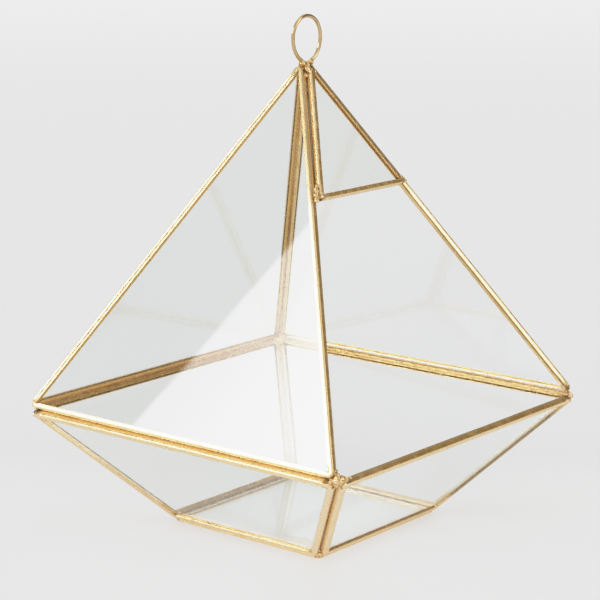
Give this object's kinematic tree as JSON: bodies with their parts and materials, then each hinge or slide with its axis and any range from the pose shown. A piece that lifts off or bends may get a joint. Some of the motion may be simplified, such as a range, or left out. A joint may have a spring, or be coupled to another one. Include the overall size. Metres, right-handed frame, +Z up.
{
  "type": "empty glass terrarium with brass-edged panes",
  "caption": "Empty geometric glass terrarium: square pyramid over a tapering bowl, brass-edged panes, one side open for planting, ring on top.",
  "frame": {"origin": "centre of the footprint, on the surface the terrarium stands on", "axes": "+Z up through the apex, -Y out of the open side, +X to the right when facing the open side"},
  "size_m": [0.1986, 0.1986, 0.2536],
  "materials": {
    "glass": "clear, polished, faintly grey-green",
    "brass": "polished folded sheet, gold to brown",
    "solder": "lumpy, brass-plated solder"
  },
  "bodies": {
    "root": {"base_frame": "brass", "base_glass": "glass", "bowl_front_frame": "brass", "bowl_front_glass": "glass", "bowl_right_frame": "brass", "bowl_right_glass": "glass", "bowl_back_frame": "brass", "bowl_back_glass": "glass", "bowl_left_frame": "brass", "bowl_left_glass": "glass", "small_front_frame": "brass", "small_front_glass": "glass", "roof_right_frame": "brass", "roof_right_glass": "glass", "roof_back_frame": "brass", "roof_back_glass": "glass", "roof_left_frame": "brass", "roof_left_glass": "glass", "hanging_ring": "brass", "belt_solder_front_left": "solder", "belt_solder_front_right": "solder", "belt_solder_back_right": "solder", "belt_solder_back_left": "solder", "base_solder_front_left": "solder", "base_solder_front_right": "solder", "base_solder_back_right": "solder", "base_solder_back_left": "solder", "apex_solder": "solder", "hip_solder_left": "solder", "hip_solder_right": "solder"}
  },
  "joints": []
}
